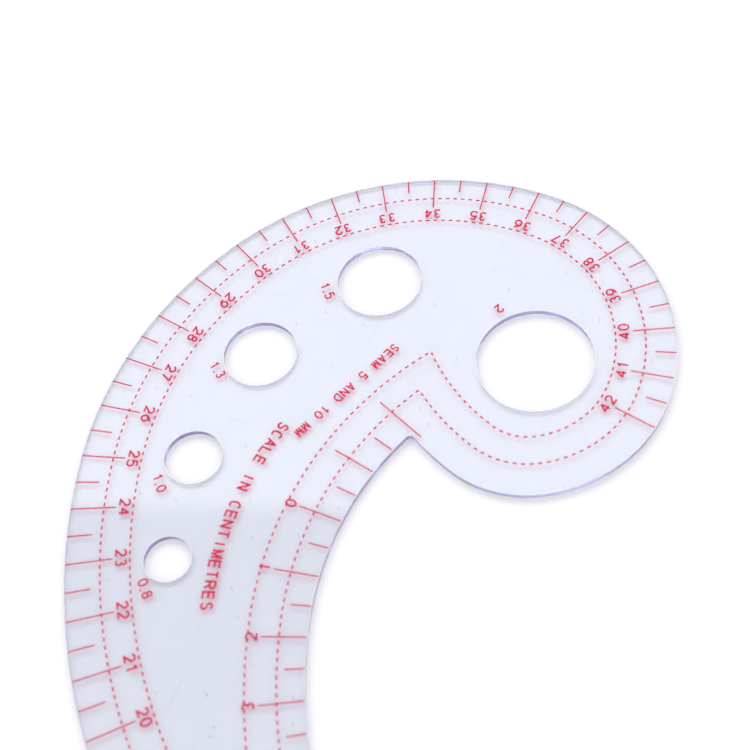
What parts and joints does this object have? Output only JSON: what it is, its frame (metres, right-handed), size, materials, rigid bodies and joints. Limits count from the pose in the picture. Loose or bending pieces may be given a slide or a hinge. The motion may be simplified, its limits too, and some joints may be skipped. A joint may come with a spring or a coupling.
{
  "type": "french curve",
  "caption": "Clear flat comma-shaped curve ruler for drawing and measuring curves, with a centimetre scale printed along its edge, dashed seam lines and round gauge holes.",
  "frame": {"origin": "centre of the 20 mm gauge hole, at the underside of the sheet", "axes": "+Z out of the printed face; +X from the body towards the head; +Y from the tail towards the top of the head"},
  "size_m": [0.1083, 0.1641, 0.0012],
  "materials": {
    "clear_sheet": "clear polished sheet with a faint blue tint",
    "red_ink": "rose-red screen-printed ink"
  },
  "bodies": {
    "root": {"ruler_sheet": "clear_sheet", "tick_marks_whole": "red_ink", "tick_marks_half": "red_ink", "scale_numbers": "red_ink", "seam_line_5mm": "red_ink", "seam_line_10mm": "red_ink", "hole_size_numbers": "red_ink", "unit_legend": "red_ink"}
  },
  "joints": []
}
